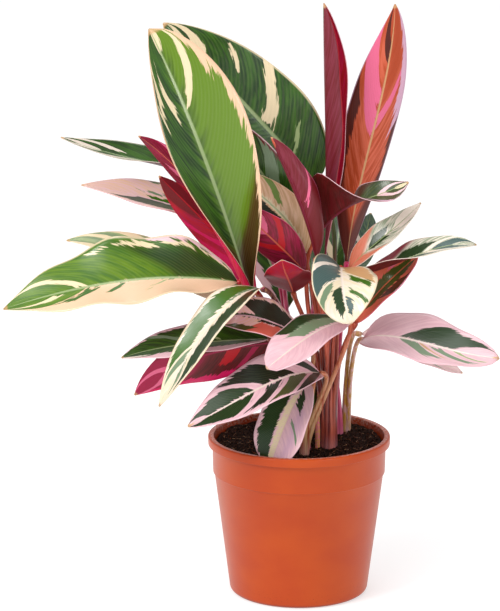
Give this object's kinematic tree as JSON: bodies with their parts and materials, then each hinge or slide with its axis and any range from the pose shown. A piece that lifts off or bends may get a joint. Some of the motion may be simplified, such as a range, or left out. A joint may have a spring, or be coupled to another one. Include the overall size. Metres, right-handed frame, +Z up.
{
  "type": "potted stromanthe triostar plant",
  "caption": "Potted prayer plant with lance-shaped green, cream and pink leaves, crimson undersides and slim stalks, in a plain tapered orange nursery pot with compost.",
  "frame": {"origin": "middle of the pot's flat underside", "axes": "+Z up, -Y towards the side the plant is seen from, +X to that viewer's right"},
  "size_m": [0.4514, 0.2987, 0.5542],
  "materials": {
    "pot_plastic": "satin terracotta-orange moulded plastic",
    "compost": "matt dark peat compost",
    "stalk": "smooth burgundy to tan leaf stalks",
    "leaf": "glossy green leaf with cream and pink variegation and a crimson underside",
    "leaf_crimson": "satin crimson underside of a rolled or turned leaf"
  },
  "bodies": {
    "root": {"leaf_arching": "leaf", "leaf_back_tall": "leaf", "leaf_centre_crimson": "leaf_crimson", "leaf_centre_face": "leaf", "leaf_front_drop": "leaf", "leaf_front_low": "leaf", "leaf_front_oval": "leaf", "leaf_front_tall": "leaf", "leaf_hanging_left": "leaf", "leaf_left_behind": "leaf", "leaf_left_crimson": "leaf_crimson", "leaf_left_high": "leaf", "leaf_left_long": "leaf", "leaf_left_pink": "leaf", "leaf_left_tip": "leaf_crimson", "leaf_low_left": "leaf", "leaf_low_magenta": "leaf_crimson", "leaf_mid_cream": "leaf", "leaf_mid_green": "leaf", "leaf_mid_left": "leaf", "leaf_mid_pink": "leaf_crimson", "leaf_rear_left": "leaf", "leaf_rear_middle": "leaf", "leaf_rear_right": "leaf", "leaf_right_blue": "leaf", "leaf_right_narrow": "leaf", "leaf_right_olive": "leaf", "leaf_right_pink": "leaf", "leaf_right_under": "leaf", "leaf_right_white": "leaf", "leaf_rolled_centre": "leaf_crimson", "leaf_rolled_spear": "leaf_crimson", "leaf_tall_right": "leaf", "pot": "pot_plastic", "shoot_back": "stalk", "shoot_front": "stalk", "shoot_left": "stalk", "shoot_left_back": "stalk", "shoot_main": "stalk", "shoot_middle": "stalk", "shoot_right": "stalk", "shoot_slim": "stalk", "soil": "compost", "sprout_purple": "stalk", "sprout_stub": "stalk", "sprout_tall": "stalk"}
  },
  "joints": []
}
